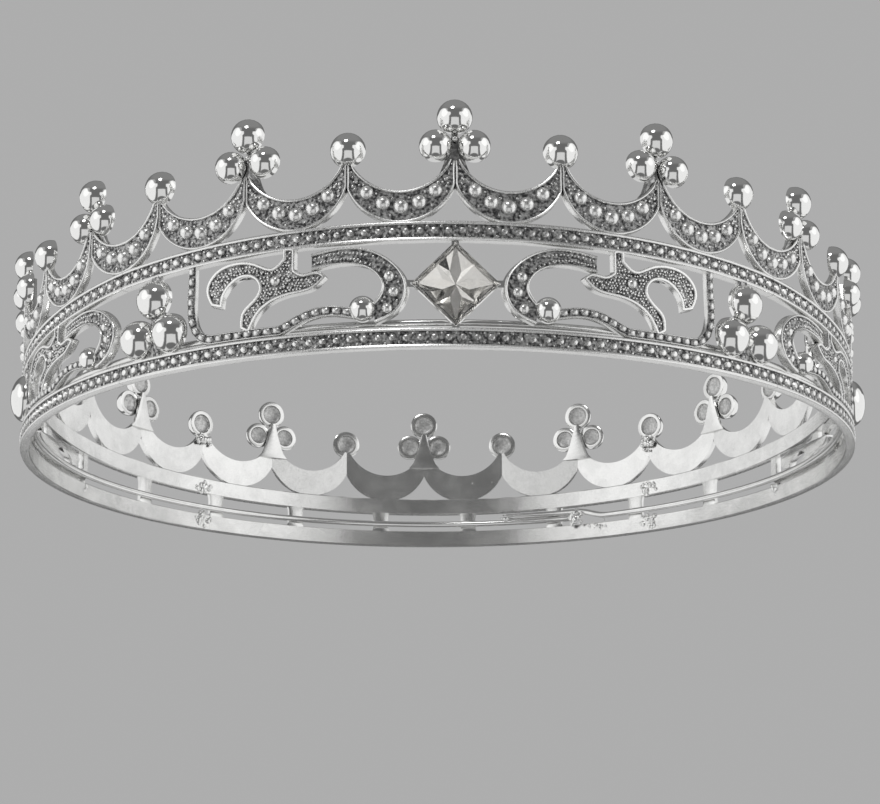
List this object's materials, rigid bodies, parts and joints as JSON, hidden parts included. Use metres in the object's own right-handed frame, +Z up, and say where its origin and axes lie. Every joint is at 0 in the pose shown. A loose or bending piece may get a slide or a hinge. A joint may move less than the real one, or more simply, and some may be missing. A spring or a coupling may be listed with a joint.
{
  "type": "crown",
  "caption": "Rigid cast crown: two beaded bands, a scrolled gallery with a square stone, crescents and half-ball domes on top, and a wire ring inside for hair pins.",
  "frame": {"origin": "centre of the ring on the plane that the lower band rests on", "axes": "+Z up, the stone at the front faces -Y, +X is the right-hand side seen from the front"},
  "size_m": [0.165, 0.165, 0.0429],
  "materials": {
    "antique_silver": "cast and silver plated, dark oxide in the recesses, bright rims",
    "polished_silver": "mirror polished silver plate",
    "satin_silver": "satin silver plate, slightly mottled",
    "crystal_glass": "faceted clear crystal glass"
  },
  "bodies": {
    "root": {"lower_band_front": "antique_silver", "upper_band_front": "antique_silver", "lower_band_right": "antique_silver", "upper_band_right": "antique_silver", "lower_band_rear": "antique_silver", "upper_band_rear": "antique_silver", "lower_band_left": "antique_silver", "upper_band_left": "antique_silver", "crescent_01": "antique_silver", "crescent_02": "antique_silver", "crescent_03": "antique_silver", "crescent_04": "antique_silver", "crescent_05": "antique_silver", "crescent_06": "antique_silver", "crescent_07": "antique_silver", "crescent_08": "antique_silver", "crescent_09": "antique_silver", "crescent_10": "antique_silver", "crescent_11": "antique_silver", "crescent_12": "antique_silver", "crescent_13": "antique_silver", "crescent_14": "antique_silver", "crescent_15": "antique_silver", "crescent_16": "antique_silver", "crescent_17": "antique_silver", "crescent_18": "antique_silver", "crescent_19": "antique_silver", "crescent_20": "antique_silver", "crescent_21": "antique_silver", "crescent_22": "antique_silver", "crescent_23": "antique_silver", "crescent_24": "antique_silver", "crescent_25": "antique_silver", "crescent_26": "antique_silver", "crescent_27": "antique_silver", "crescent_28": "antique_silver", "tip_domes_front": "polished_silver", "tip_domes_right": "polished_silver", "tip_domes_rear": "polished_silver", "tip_domes_left": "polished_silver", "c_scroll_right_1": "antique_silver", "leaf_right_1": "antique_silver", "c_scroll_right_2": "antique_silver", "leaf_right_2": "antique_silver", "c_scroll_right_3": "antique_silver", "leaf_right_3": "antique_silver", "bead_vines_right": "antique_silver", "c_scroll_left_1": "antique_silver", "leaf_left_1": "antique_silver", "c_scroll_left_2": "antique_silver", "leaf_left_2": "antique_silver", "c_scroll_left_3": "antique_silver", "leaf_left_3": "antique_silver", "bead_vines_left": "antique_silver", "scroll_domes": "polished_silver", "gallery_domes": "polished_silver", "rear_struts": "satin_silver", "crystal": "crystal_glass", "crystal_setting": "satin_silver", "inner_wire": "satin_silver"}
  },
  "joints": []
}
